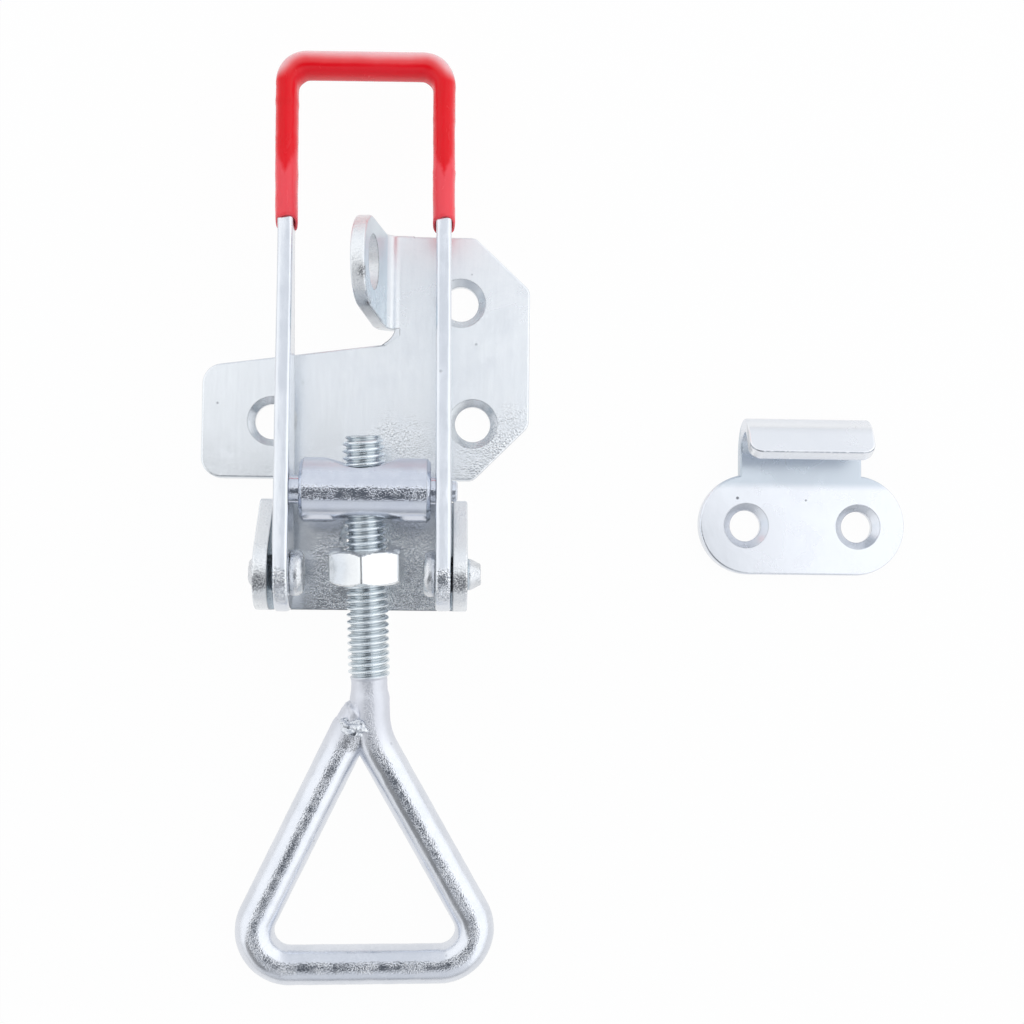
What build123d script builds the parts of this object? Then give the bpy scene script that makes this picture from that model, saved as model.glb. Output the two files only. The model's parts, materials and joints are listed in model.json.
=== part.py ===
from build123d import *
import os
from math import asin, cos, radians, sin, tan

# Adjustable over-centre toggle latch with a padlock ear and its separate keeper plate.
# Millimetres. The origin is the centre of the front screw hole on the mounting face:
# +X to the right, +Y from the hook towards the grip, +Z away from the mounting face.

# ---------------------------------------------------------------- driving dimensions
# Base plate, one folded sheet
sheet = 2.0                      # sheet thickness
sheet_round = 0.3                # edges rolled over by the press
half_width = 23.85               # base plate, centre line to either side edge
wing_front = 8.85                # front edges of the two wings
plate_rear = 44.75               # rear edge behind the padlock ear
left_wing_rear = 25.2            # rear edge of the left wing at its outer end
left_wing_slope = 7.6            # degrees, that edge runs rearwards towards the padlock ear
wing_break = 2.3                 # where it turns up to the padlock ear, left of the bend line
right_wing_flat = 3.15           # its straight front edge, from the bend relief to the cut corner
chamfer_length = 8.1             # the right wing's cut corners, along its side edge
rear_chamfer_length = 7.65
left_wing_corner = 3.0
right_wing_corner = 1.8
neck_half_width = 12.6           # floor between the bend reliefs
relief_corner = 0.6

# Pivot ears, bent up from the floor of the base
channel_outside = 29.35          # across the outer faces of the ears
channel_x = 0.22                 # middle of the channel
channel_bend = 1.6               # inner bend radius
ear_rear = 5.5                   # rear end of each ear
ear_rear_height = 9.2            # its height there, before it rises to the pivot
ear_rear_corner = 1.5            # rounded corner at that height
ear_radius = 5.2                 # round end about the pivot
pivot_y = -5.0
pivot_z = 12.0

# Padlock ear, bent up from the rear of the base
lock_ear_x = 4.7                 # bend line on the upper face
lock_ear_bend = 2.0              # inner bend radius
lock_ear_lean = 8.5              # degrees off vertical
lock_ear_front = 30.3            # corner of the plate where the ear begins
lock_ear_start = 30.9            # front end of the ear's root
lock_ear_root = 1.7              # its front edge slopes straight out of the bend
lock_hole_y = 38.6
lock_hole_height = 13.1
lock_hole_radius = 3.85
lock_ear_radius = 6.45           # round end
lock_ear_end_y = 38.45           # its centre
lock_ear_end_height = 13.8

# Countersunk screw holes
screw_radius = 2.6
screw_rim_radius = 3.6
screw_rear_y = 17.2              # the pair across the wings
screw_left_x = -13.6
screw_right_x = 15.6
screw_corner = (13.7, 35.0)      # the hole beside the padlock ear

# Handle, one strip bent on edge into a U
strip = 2.15                     # strip thickness
handle_outside = 24.4            # across the outer faces of the legs
handle_end = 68.25               # rear face of the cross bar
handle_skew = 0.6                # degrees, the U sits slightly off square to the pivot
handle_x = 0.37                  # its centre line at the origin
handle_bend = 2.0                # inner bend radius
leg_radius = 5.3                 # round end of a leg about the pivot
arm_depth = 4.5                  # strip depth in the grip
arm_z = 10.6                     # centre of the strip's depth in the grip
taper_start = 8.0
taper_end = 40.0
taper_blend = 12.0
strip_edge = 0.45                # rounded edges
short_edge = 8.0                 # edges up to this length stay sharp

# Grip sleeve over the handle's U
sleeve_wall = 0.5
sleeve_front = 45.0              # open ends of the sleeve, at the top
sleeve_slant = 1.3               # the ends are cut obliquely, the underside is longer
sleeve_inner_corner = 2.4
sleeve_round = 0.8

# Barrel, the cross pin that carries the hook
barrel_y = 6.6
barrel_z = 12.0
barrel_radius = 4.5
barrel_length = 18.1
barrel_x = 0.58                  # middle of the barrel's thick part
barrel_chamfer = 0.5
trunnion_radius = 2.0
trunnion_end = 0.9               # reduced end outside the right leg; the left one is flush
trunnion_end_radius = 1.45
trunnion_end_chamfer = 0.25
bore_sink_angle = 118.0
bore_sink_radius = 5.15          # mouth of the cross bore at the barrel's side

# Hook: threaded rod, neck and welded wire loop, all one bar
rod_x = 0.45                     # rod's axis at the barrel
rod_radius = 2.9
rod_end_chamfer = 0.6
rod_skew = 1.9                   # degrees, the cross bore is drilled slightly off square
rod_tail = 7.6                   # rod behind the barrel's axis
thread_end = 26.4                # from the barrel's axis
neck_radius = 2.55
neck_end = 29.4
wire_radius = 2.8
loop_reach = 67.9                # barrel axis to the centre of the loop's bar
loop_half_angle = 27.5           # degrees, each side off the rod's direction
loop_apex = 31.54                # where the centre lines of the two sides cross
loop_shift = -1.6                # the loop's centre line off the rod's axis
loop_bar_skew = 1.3              # degrees, the loop's bar off square to the rod
loop_corner = 5.1                # centre line radius of the two lower corners
loop_shoulder = 12.0             # centre line radius where the rod bends into the loop
loop_free_end = 32.4             # cut end of the wire, welded to the neck

# Lock nut, M6
nut_flats = 10.0
nut_height = 4.8
nut_place = 10.6                 # barrel axis to the nut's centre
nut_turn = 5.5                   # degrees, one corner off the top
nut_face_radius = 4.7            # flat left on each end by the corner chamfer

# Pivot rivets
rivet_head_radius = 3.2
left_head = 1.25                 # height of each inner head
right_head = 1.6
rivet_head_round = 0.9           # rounded rim of a head
rivet_radius = 2.5               # bearing inside the leg
rivet_neck_radius = 1.9          # through the ear
rivet_tail_radius = 2.2          # peened end outside the ear
rivet_tail_rim = 0.35            # part of the tail's length at full radius
rivet_tail_face = 0.6            # its end face, part of the radius
left_tail = 1.0
right_tail = 1.85

# Keeper plate
keeper_x = 64.3
keeper_y = 3.0
keeper_radius = 7.35
keeper_half_length = 15.2
keeper_screw_spacing = 16.6
keeper_screw_y = 2.8
keeper_screw_radius = 2.3
keeper_rim_radius = 3.3
hook_x = 64.1                    # middle of the hook's width
hook_width = 18.1
hook_flat = 13.35                # where the sheet starts to turn up
hook_bight = 2.9                 # inner radius, round the loop's wire
hook_lip_rise = 30.0             # degrees, the lip opens upwards
hook_lip = 3.3
hook_lip_corner = 1.8            # rounded free corners of the lip

# Clearances
running = 0.05                   # radial, round every pin
side_play = 0.1                  # rivet head to leg

# ---------------------------------------------------------------- worked-out places
ear_depth = channel_outside / 2    # middle of the channel to an ear's outer face
leg_outer = handle_outside / 2
leg_inner = leg_outer - strip
far = 60.0                       # longer than any cut
handle_plan = Plane.XY.move(Location((handle_x, 0, 0), (0, 0, handle_skew)))
leg_shift = handle_x - pivot_y * tan(radians(handle_skew))      # centre line at the pivot

slope_down = asin((barrel_z - wire_radius) / loop_reach)   # the loop lies on the mounting plane
rod_direction = Vector(
    sin(radians(rod_skew)) * cos(slope_down),
    -cos(radians(rod_skew)) * cos(slope_down),
    -sin(slope_down),
)
rod_side = Vector(cos(radians(rod_skew)), sin(radians(rod_skew)), 0)
barrel_centre = Vector(rod_x, barrel_y, barrel_z)
# Loop plane: local X across the rod, local Y back along the rod
loop_plane = Plane(origin=barrel_centre, x_dir=rod_side, z_dir=rod_side.cross(-rod_direction))


def rod_section(distance):
    """Plane square to the rod, at a distance from the barrel's axis towards the loop."""
    return Plane(origin=barrel_centre + rod_direction * distance, x_dir=rod_side, z_dir=rod_direction)


# ---------------------------------------------------------------- padlock ear
# Drawn in the XZ plane as a bent strip, then trimmed to its rounded outline.
middle = lock_ear_bend + sheet / 2
bend_angle = 90 - lock_ear_lean
ear_top_x = lock_ear_x - lock_ear_bend * sin(radians(bend_angle))
ear_top_z = sheet + lock_ear_bend * (1 - cos(radians(bend_angle)))
ear_slope = Vector(-sin(radians(lock_ear_lean)), 0, cos(radians(lock_ear_lean)))
ear_normal = Vector(cos(radians(lock_ear_lean)), 0, sin(radians(lock_ear_lean)))
ear_face = Plane(origin=(ear_top_x, 0, ear_top_z), x_dir=(0, 1, 0), z_dir=-ear_normal)
hole_up = (lock_hole_height - ear_top_z) / cos(radians(lock_ear_lean))
end_up = (lock_ear_end_height - ear_top_z) / cos(radians(lock_ear_lean))

with BuildPart() as lock_ear:
    with BuildSketch(Plane.XZ.offset(-lock_ear_start)):
        with BuildLine():
            root = Line((lock_ear_x + sheet, sheet / 2), (lock_ear_x, sheet / 2))
            bend = JernArc(root @ 1, root % 1, middle, -bend_angle)
            Line(bend @ 1, bend @ 1 + (bend % 1) * far)
        trace(line_width=sheet)
    extrude(amount=-far)
    with BuildSketch(ear_face):
        with BuildLine():
            CenterArc((lock_ear_end_y, -end_up), lock_ear_radius, 0, 360)
            Polyline(
                (lock_ear_start, lock_ear_root),
                (lock_ear_start, far / 2),
                (plate_rear, far / 2),
                (plate_rear, 0),
            )
        make_hull()
    extrude(amount=far, both=True, mode=Mode.INTERSECT)
    outline = edges().filter_by(lambda e: e.center().Z > lock_ear_end_height / 2 and e.length > 2 * sheet)
    fillet(outline, sheet_round)
    with BuildSketch(ear_face):
        with Locations((lock_hole_y, -hole_up)):
            Circle(lock_hole_radius)
    extrude(amount=far, both=True, mode=Mode.SUBTRACT)

# ---------------------------------------------------------------- base plate
chamfer_x = neck_half_width + right_wing_flat
break_x = lock_ear_x - wing_break
break_y = left_wing_rear + (break_x + half_width) * tan(radians(left_wing_slope))
with BuildPart() as base_plate:
    # Channel section with both ears, trimmed to the ears' side view
    with BuildSketch(Plane.XZ.offset(ear_radius - pivot_y)):
        with Locations((channel_x, 0)):
            Rectangle(channel_outside, far, align=(Align.CENTER, Align.MIN))
            fillet(vertices().group_by(Axis.Y)[0], channel_bend + sheet)
        with BuildSketch(mode=Mode.SUBTRACT):
            with Locations((channel_x, sheet)):
                Rectangle(channel_outside - 2 * sheet, far, align=(Align.CENTER, Align.MIN))
                fillet(vertices().group_by(Axis.Y)[0], channel_bend)
    extrude(amount=-(ear_rear + ear_radius - pivot_y))
    with BuildSketch(Plane.YZ):
        with BuildLine():
            CenterArc((pivot_y, pivot_z), ear_radius, 0, 360)
            CenterArc(
                (ear_rear - ear_rear_corner, ear_rear_height - ear_rear_corner), ear_rear_corner, 0, 360
            )
            Line((pivot_y - ear_radius, 0), (ear_rear, 0))
        make_hull()
    extrude(amount=far, both=True, mode=Mode.INTERSECT)
    outer_face = edges().filter_by(lambda e: abs(abs(e.center().X - channel_x) - ear_depth) < relief_corner)
    fillet(outer_face.filter_by(lambda e: e.center().Z > channel_bend + sheet + relief_corner), sheet_round)
    # Flat of the plate: left wing, right wing and the neck that joins them to the channel
    with BuildSketch():
        with BuildLine():
            Polyline(
                (-neck_half_width, ear_rear - sheet),
                (-neck_half_width, wing_front),
                (-half_width, wing_front),
                (-half_width, left_wing_rear),
                (break_x, break_y),
                (lock_ear_x, lock_ear_front),
                (lock_ear_x, plate_rear),
                (chamfer_x, plate_rear),
                (half_width, plate_rear - rear_chamfer_length),
                (half_width, wing_front + chamfer_length),
                (chamfer_x, wing_front),
                (neck_half_width, wing_front),
                (neck_half_width, ear_rear - sheet),
                close=True,
            )
        make_face()
        fillet(vertices().group_by(Axis.X)[0], left_wing_corner)
        fillet(vertices().filter_by(lambda v: v.X > chamfer_x - relief_corner / 2), right_wing_corner)
        relief = vertices().filter_by(lambda v: abs(v.Y - wing_front) < relief_corner / 2)
        fillet(relief.filter_by(lambda v: abs(v.X) < neck_half_width + relief_corner / 2), relief_corner)
    extrude(amount=sheet)
    upper_face = edges().filter_by_position(Axis.Z, sheet, sheet)
    wings = upper_face.filter_by_position(Axis.Y, wing_front - relief_corner, far)
    fillet(wings.filter_by(lambda e: abs(e.center().X - lock_ear_x) > relief_corner), sheet_round)
    add(lock_ear.part)
    with Locations(
        (0, 0, sheet),
        (screw_left_x, screw_rear_y, sheet),
        (screw_right_x, screw_rear_y, sheet),
        (screw_corner[0], screw_corner[1], sheet),
    ):
        CounterSinkHole(screw_radius, screw_rim_radius, counter_sink_angle=90)
    with BuildSketch(Plane.YZ):
        with Locations((pivot_y, pivot_z)):
            Circle(rivet_neck_radius)
    extrude(amount=far, both=True, mode=Mode.SUBTRACT)

# ---------------------------------------------------------------- pivot rivets
def rivet(side, head_height, tail):
    """One pivot rivet: inner head, bearing through the leg, neck through the ear, peened end."""
    outer = channel_x + side * ear_depth
    inner = outer - side * sheet
    seat = leg_shift + side * (leg_inner - side_play)
    head = seat - side * head_height
    with BuildPart() as piece:
        with BuildSketch(Plane.XZ.offset(-pivot_y)):
            with BuildLine():
                Polyline(
                    (outer + side * tail, pivot_z),
                    (head, pivot_z),
                    (head, pivot_z + rivet_head_radius - rivet_head_round),
                    (head + side * rivet_head_round, pivot_z + rivet_head_radius),
                    (seat, pivot_z + rivet_head_radius),
                    (seat, pivot_z + rivet_radius),
                    (inner, pivot_z + rivet_radius),
                    (inner, pivot_z + rivet_neck_radius),
                    (outer, pivot_z + rivet_neck_radius),
                    (outer, pivot_z + rivet_tail_radius),
                    (outer + side * rivet_tail_rim * tail, pivot_z + rivet_tail_radius),
                    (outer + side * tail, pivot_z + rivet_tail_face * rivet_tail_radius),
                    close=True,
                )
            make_face()
        revolve(axis=Axis((0, pivot_y, pivot_z), (1, 0, 0)))
    return piece


pivot_rivet_left = rivet(-1, left_head, left_tail)
pivot_rivet_right = rivet(1, right_head, right_tail)

# ---------------------------------------------------------------- handle frame
arm_top = arm_z + arm_depth / 2
arm_bottom = arm_z - arm_depth / 2
past_end = handle_end + strip
with BuildPart() as handle_frame:
    # Plan of the U
    with BuildSketch(handle_plan):
        with Locations((0, handle_end)):
            Rectangle(handle_outside, 2 * far, align=(Align.CENTER, Align.MAX))
            fillet(vertices().group_by(Axis.Y)[-1], handle_bend + strip)
        with BuildSketch(mode=Mode.SUBTRACT):
            with Locations((0, handle_end - strip)):
                Rectangle(2 * leg_inner, 2 * far, align=(Align.CENTER, Align.MAX))
                fillet(vertices().group_by(Axis.Y)[-1], handle_bend)
    extrude(amount=far)
    # Side view: deep round ended legs that taper into the slim arm
    with BuildSketch(Plane.YZ):
        with BuildLine():
            end = ThreePointArc(
                (pivot_y, pivot_z - leg_radius),
                (pivot_y - leg_radius, pivot_z),
                (pivot_y, pivot_z + leg_radius),
            )
            FilletPolyline(
                end @ 1,
                (taper_start, pivot_z + leg_radius),
                (taper_end, arm_top),
                (past_end, arm_top),
                radius=taper_blend,
            )
            Line((past_end, arm_top), (past_end, arm_bottom))
            FilletPolyline(
                (past_end, arm_bottom),
                (taper_end, arm_bottom),
                (taper_start, pivot_z - leg_radius),
                end @ 0,
                radius=taper_blend,
            )
        make_face()
    extrude(amount=far, both=True, mode=Mode.INTERSECT)
    fillet(edges().filter_by(lambda e: e.center().Y > taper_start and e.length > short_edge), strip_edge)
    with BuildSketch(Plane.YZ):
        with Locations((pivot_y, pivot_z)):
            Circle(rivet_radius + running)
        with Locations((barrel_y, barrel_z)):
            Circle(trunnion_radius + running)
    extrude(amount=far, both=True, mode=Mode.SUBTRACT)

# ---------------------------------------------------------------- grip sleeve
sleeve_bottom = arm_bottom - sleeve_wall
sleeve_top = arm_top + sleeve_wall
with BuildPart() as grip_sleeve:
    with BuildSketch(handle_plan.offset(sleeve_bottom)):
        with Locations((0, handle_end + sleeve_wall)):
            Rectangle(handle_outside + 2 * sleeve_wall, far, align=(Align.CENTER, Align.MAX))
            fillet(vertices().group_by(Axis.Y)[-1], handle_bend + strip + sleeve_wall)
        with BuildSketch(mode=Mode.SUBTRACT):
            with Locations((0, handle_end - strip - sleeve_wall)):
                Rectangle(2 * (leg_inner - sleeve_wall), 2 * far, align=(Align.CENTER, Align.MAX))
                fillet(vertices().group_by(Axis.Y)[-1], sleeve_inner_corner)
    extrude(amount=sleeve_top - sleeve_bottom)
    rims = edges().filter_by(lambda e: e.center().Y > sleeve_front - far / 2)
    fillet(rims.group_by(Axis.Z)[0] + rims.group_by(Axis.Z)[-1], sleeve_round)
    with BuildSketch(Plane.YZ):
        with BuildLine():
            Polyline(
                (sleeve_front, sleeve_top),
                (sleeve_front - sleeve_slant, sleeve_bottom),
                (handle_end + far, sleeve_bottom),
                (handle_end + far, sleeve_top),
                close=True,
            )
        make_face()
    extrude(amount=far, both=True, mode=Mode.INTERSECT)
    add(handle_frame.part, mode=Mode.SUBTRACT)

# ---------------------------------------------------------------- barrel
thick_left = barrel_x - barrel_length / 2
thick_right = barrel_x + barrel_length / 2
leg_middle = handle_x - barrel_y * tan(radians(handle_skew))    # between the legs, at the barrel
end_start = leg_middle + leg_outer + side_play
end_stop = leg_middle + leg_outer + trunnion_end
with BuildPart() as barrel:
    with BuildSketch(Plane.XZ.offset(-barrel_y)):
        with BuildLine():
            Polyline(
                (leg_middle - leg_outer, barrel_z),
                (leg_middle - leg_outer, barrel_z + trunnion_radius),
                (thick_left, barrel_z + trunnion_radius),
                (thick_left, barrel_z + barrel_radius - barrel_chamfer),
                (thick_left + barrel_chamfer, barrel_z + barrel_radius),
                (thick_right - barrel_chamfer, barrel_z + barrel_radius),
                (thick_right, barrel_z + barrel_radius - barrel_chamfer),
                (thick_right, barrel_z + trunnion_radius),
                (end_start, barrel_z + trunnion_radius),
                (end_start, barrel_z + trunnion_end_radius),
                (end_stop - trunnion_end_chamfer, barrel_z + trunnion_end_radius),
                (end_stop, barrel_z + trunnion_end_radius - trunnion_end_chamfer),
                (end_stop, barrel_z),
                close=True,
            )
        make_face()
    revolve(axis=Axis((0, barrel_y, barrel_z), (1, 0, 0)))
    # Cross bore for the rod, with a wide drilled mouth on both sides
    with BuildSketch(rod_section(0)):
        Circle(rod_radius + running)
    extrude(amount=far / 2, both=True, mode=Mode.SUBTRACT)
    flare = tan(radians(bore_sink_angle / 2))
    mouth = barrel_radius - bore_sink_radius / flare
    with BuildSketch(loop_plane):
        for way in (-1, 1):
            with BuildLine():
                Polyline(
                    (0, way * mouth),
                    (0, way * far / 4),
                    ((far / 4 - mouth) * flare, way * far / 4),
                    close=True,
                )
            make_face()
    revolve(axis=Axis(tuple(barrel_centre), tuple(rod_direction)), mode=Mode.SUBTRACT)

# ---------------------------------------------------------------- hook
side_run = tan(radians(loop_half_angle))
bar_run = tan(radians(loop_bar_skew))
shoulder_at = loop_apex - loop_shift / side_run


def loop_corner_reach(side):
    """Distance of a lower corner of the loop from the barrel's axis, the bar being off square."""
    tilt = side * bar_run * side_run
    return (loop_reach - loop_apex * tilt) / (1 - tilt)


def side_point(side, reach):
    """Point on the centre line of one side of the loop."""
    return loop_shift + side * (reach - loop_apex) * side_run, -reach


bar_middle = (
    (side_point(1, loop_corner_reach(1))[0] + side_point(-1, loop_corner_reach(-1))[0]) / 2,
    (side_point(1, loop_corner_reach(1))[1] + side_point(-1, loop_corner_reach(-1))[1]) / 2,
)
with BuildPart() as hook:
    with BuildSketch(rod_section(-rod_tail)):
        Circle(rod_radius)
    extrude(amount=rod_tail + thread_end)
    chamfer(edges().filter_by(GeomType.CIRCLE), rod_end_chamfer)
    with BuildSketch(rod_section(thread_end - rod_end_chamfer)):
        Circle(neck_radius)
    extrude(amount=neck_end - thread_end + 2 * rod_end_chamfer)
    # The right side of the loop as far as the middle of its bar
    with BuildLine(loop_plane):
        FilletPolyline(
            (0, -neck_end),
            (0, -shoulder_at),
            side_point(1, loop_corner_reach(1)),
            bar_middle,
            radius=[loop_shoulder, loop_corner],
        )
    with BuildSketch(rod_section(neck_end)):
        Circle(wire_radius)
    sweep()
    # The left side, back from there to the free end, which is welded to the neck
    with BuildLine(loop_plane):
        left_side = FilletPolyline(
            bar_middle,
            side_point(-1, loop_corner_reach(-1)),
            side_point(-1, loop_free_end),
            radius=loop_corner,
        )
    with BuildSketch(left_side ^ 0):
        Circle(wire_radius)
    sweep()

# ---------------------------------------------------------------- lock nut
nut_corner_radius = nut_flats / 2 / cos(radians(30))
nut_outside = nut_corner_radius + running
with BuildPart() as lock_nut:
    with BuildSketch(rod_section(nut_place - nut_height / 2)):
        RegularPolygon(nut_corner_radius, 6, rotation=30 + nut_turn)
        Circle(rod_radius + running, mode=Mode.SUBTRACT)
    extrude(amount=nut_height)
    drop = (nut_outside - nut_face_radius) * tan(radians(30))
    with BuildSketch(loop_plane):
        with BuildLine():
            Polyline(
                (0, nut_height / 2 - nut_place),
                (nut_face_radius, nut_height / 2 - nut_place),
                (nut_outside, nut_height / 2 - drop - nut_place),
                (nut_outside, drop - nut_height / 2 - nut_place),
                (nut_face_radius, -nut_height / 2 - nut_place),
                (0, -nut_height / 2 - nut_place),
                close=True,
            )
        make_face()
    revolve(axis=Axis(tuple(barrel_centre), tuple(rod_direction)), mode=Mode.INTERSECT)

# ---------------------------------------------------------------- keeper plate
def from_side(edge, point):
    """Distance of an edge's middle from a point, seen along X."""
    gap = edge.center() - point
    return Vector(0, gap.Y, gap.Z).length


with BuildPart() as keeper_plate:
    # Hook: the sheet runs on from the plate, turns back over itself and ends in a raised lip
    with BuildSketch(Plane.YZ.offset(hook_x - hook_width / 2)):
        with BuildLine():
            foot = Line((keeper_y, sheet / 2), (hook_flat, sheet / 2))
            bight = JernArc(foot @ 1, foot % 1, hook_bight + sheet / 2, 180 - hook_lip_rise)
            lip = Line(bight @ 1, bight @ 1 + (bight % 1) * hook_lip)
        trace(line_width=sheet)
    extrude(amount=hook_width)
    lip_end = Vector(hook_x, (lip @ 1).X, (lip @ 1).Y)
    at_lip_end = edges().filter_by(lambda e: from_side(e, lip_end) < sheet / 4)
    fillet(at_lip_end.filter_by(Axis.X, reverse=True), hook_lip_corner)
    bight_middle = Vector(hook_x, hook_flat, hook_bight + sheet)
    outside = edges().filter_by(lambda e: from_side(e, bight_middle) > hook_bight + sheet - side_play / 2)
    outside = outside.filter_by_position(Axis.Z, sheet, far)
    fillet(outside.filter_by(lambda e: e.length < hook_width - side_play), sheet_round)
    with BuildSketch():
        with Locations((keeper_x, keeper_y)):
            SlotCenterToCenter(2 * (keeper_half_length - keeper_radius), 2 * keeper_radius)
    extrude(amount=sheet)
    upper_face = edges().filter_by_position(Axis.Z, sheet, sheet)
    fillet(upper_face.filter_by_position(Axis.Y, -far, keeper_y + keeper_radius), sheet_round)
    with Locations(
        (keeper_x - keeper_screw_spacing / 2, keeper_screw_y, sheet),
        (keeper_x + keeper_screw_spacing / 2, keeper_screw_y, sheet),
    ):
        CounterSinkHole(keeper_screw_radius, keeper_rim_radius, counter_sink_angle=90)

# ---------------------------------------------------------------- files
pieces = {
    "base_plate": base_plate,
    "pivot_rivet_left": pivot_rivet_left,
    "pivot_rivet_right": pivot_rivet_right,
    "handle_frame": handle_frame,
    "grip_sleeve": grip_sleeve,
    "barrel": barrel,
    "hook": hook,
    "lock_nut": lock_nut,
    "keeper_plate": keeper_plate,
}
os.makedirs("parts", exist_ok=True)
for name, piece in pieces.items():
    piece.part.label = name
    export_step(piece.part, f"parts/{name}.step")
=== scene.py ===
import json
import math

import bmesh
import bpy
from mathutils import Matrix, Vector, noise


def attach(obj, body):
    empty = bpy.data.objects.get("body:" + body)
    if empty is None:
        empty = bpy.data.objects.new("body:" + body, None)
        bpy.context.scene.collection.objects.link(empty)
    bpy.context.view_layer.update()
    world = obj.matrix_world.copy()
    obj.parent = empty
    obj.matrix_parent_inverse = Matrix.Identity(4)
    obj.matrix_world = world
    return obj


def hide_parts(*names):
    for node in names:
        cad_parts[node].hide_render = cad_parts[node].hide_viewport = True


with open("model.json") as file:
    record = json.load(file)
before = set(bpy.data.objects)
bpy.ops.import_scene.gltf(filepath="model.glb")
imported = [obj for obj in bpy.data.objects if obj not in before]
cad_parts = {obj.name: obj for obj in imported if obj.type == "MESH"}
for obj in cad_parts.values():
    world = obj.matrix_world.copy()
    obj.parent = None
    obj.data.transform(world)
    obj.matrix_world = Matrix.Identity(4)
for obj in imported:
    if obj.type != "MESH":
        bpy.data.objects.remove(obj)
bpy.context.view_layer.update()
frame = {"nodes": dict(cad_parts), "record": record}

MM = 0.001
TAU = math.tau
body_of = {node: body for body, nodes in frame["record"]["behaviour"]["bodies"].items() for node in nodes}

# ------------------------------------------------------------------ sizes in mm, the same as in the part
PIVOT_Y, PIVOT_Z = -5.0, 12.0
CHANNEL_X, CHANNEL = 0.22, 29.35                # middle and outer width of the base's channel
SHEET = 2.0
HANDLE_X, HANDLE_SKEW = 0.37, math.radians(0.6)
LEG_OUTER, STRIP = 12.2, 2.15                   # handle's middle to a leg's outer face, and its thickness
HANDLE_END, HANDLE_BEND = 68.25, 2.0            # far face of the grip, and the inner radius of its corners
REACH, WIRE = 67.9, 2.8                         # barrel to the loop's bar, middle to middle, and its radius
THREAD_END = 26.4                               # barrel to where the thread runs out
BARREL = Vector((0.45, 6.6, 12.0))              # where the rod crosses the barrel
ROD_SKEW = math.radians(1.9)

# The rod's own axes: along it towards the loop, across it to the right, and up.
SLOPE = math.asin((BARREL.z - WIRE) / REACH)
SIDE = Vector((math.cos(ROD_SKEW), math.sin(ROD_SKEW), 0))
ROD = Vector((SIDE.y * math.cos(SLOPE), -SIDE.x * math.cos(SLOPE), -math.sin(SLOPE)))
UP = SIDE.cross(-ROD)

# The middle line of the handle's strip.
MID_X = LEG_OUTER - STRIP / 2
MID_BEND = HANDLE_BEND + STRIP / 2
MID_END = HANDLE_END - STRIP / 2

# ------------------------------------------------------------------ node helpers


class Tree:
    """A node tree with short calls. Most of them add a node and give back its output."""

    def __init__(self, owner):
        owner.use_nodes = True
        self.nodes = owner.node_tree.nodes
        self.links = owner.node_tree.links

    def put(self, socket, value):
        """Links a socket or sets its value. A colour may be given without its alpha."""
        if isinstance(value, bpy.types.NodeSocket):
            self.links.new(value, socket)
        elif value is not None:
            if socket.type == "RGBA" and len(value) == 3:
                value = (*value, 1.0)
            socket.default_value = value

    def node(self, kind, inputs=None, **settings):
        made = self.nodes.new(kind)
        for key, value in settings.items():
            setattr(made, key, value)
        for key, value in (inputs or {}).items():
            self.put(made.inputs[key], value)
        return made

    def math(self, operation, a, b=None):
        return self.node("ShaderNodeMath", {0: a, 1: b}, operation=operation).outputs[0]

    def plus(self, a, b):
        return self.math("ADD", a, b)

    def minus(self, a, b):
        return self.math("SUBTRACT", a, b)

    def times(self, first, *others):
        for other in others:
            first = self.math("MULTIPLY", first, other)
        return first

    def larger(self, a, b):
        return self.math("MAXIMUM", a, b)

    def absolute(self, value):
        return self.math("ABSOLUTE", value)

    def span(self, value, low, high, to_low=0.0, to_high=1.0, kind="SMOOTHSTEP"):
        made = self.node("ShaderNodeMapRange", interpolation_type=kind)
        for socket, number in zip(made.inputs, (value, low, high, to_low, to_high)):
            self.put(socket, number)
        return made.outputs[0]

    def span_mm(self, value, low, high, to_low=0.0, to_high=1.0):
        return self.span(value, low * MM, high * MM, to_low, to_high)

    def mix(self, factor, a, b):
        made = self.node("ShaderNodeMix", data_type="RGBA")
        for index, value in ((0, factor), (6, a), (7, b)):
            self.put(made.inputs[index], value)
        return made.outputs[2]

    def scaled(self, vector, scale):
        return self.node("ShaderNodeMapping", {"Vector": vector, "Scale": scale}).outputs[0]

    def noise(self, vector, size, detail, rough=0.55, distort=0.0):
        """Noise with features of about the given size in mm."""
        settings = {"Vector": vector, "Scale": 1 / MM / size, "Detail": detail, "Roughness": rough}
        return self.node("ShaderNodeTexNoise", {**settings, "Distortion": distort}).outputs[0]

    def vector(self, operation, a, b=None, output="Vector"):
        return self.node("ShaderNodeVectorMath", {0: a, 1: b}, operation=operation).outputs[output]

    def dot(self, a, b):
        return self.vector("DOT_PRODUCT", a, b, "Value")

    def distance(self, a, b):
        return self.vector("DISTANCE", a, b, "Value")

    def split(self, vector):
        return self.node("ShaderNodeSeparateXYZ", {0: vector}).outputs[:3]

    def place(self):
        return self.node("ShaderNodeTexCoord").outputs["Object"]

    def normal(self, kind="Normal"):
        return self.node("ShaderNodeNewGeometry").outputs[kind]

    def camera_ray(self):
        return self.node("ShaderNodeLightPath").outputs["Is Camera Ray"]


def principled(name):
    """A new material, its tree and its Principled shader."""
    material = bpy.data.materials.new(name)
    tree = Tree(material)
    shader = next(node for node in tree.nodes if node.type == "BSDF_PRINCIPLED")
    return material, tree, shader


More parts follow.
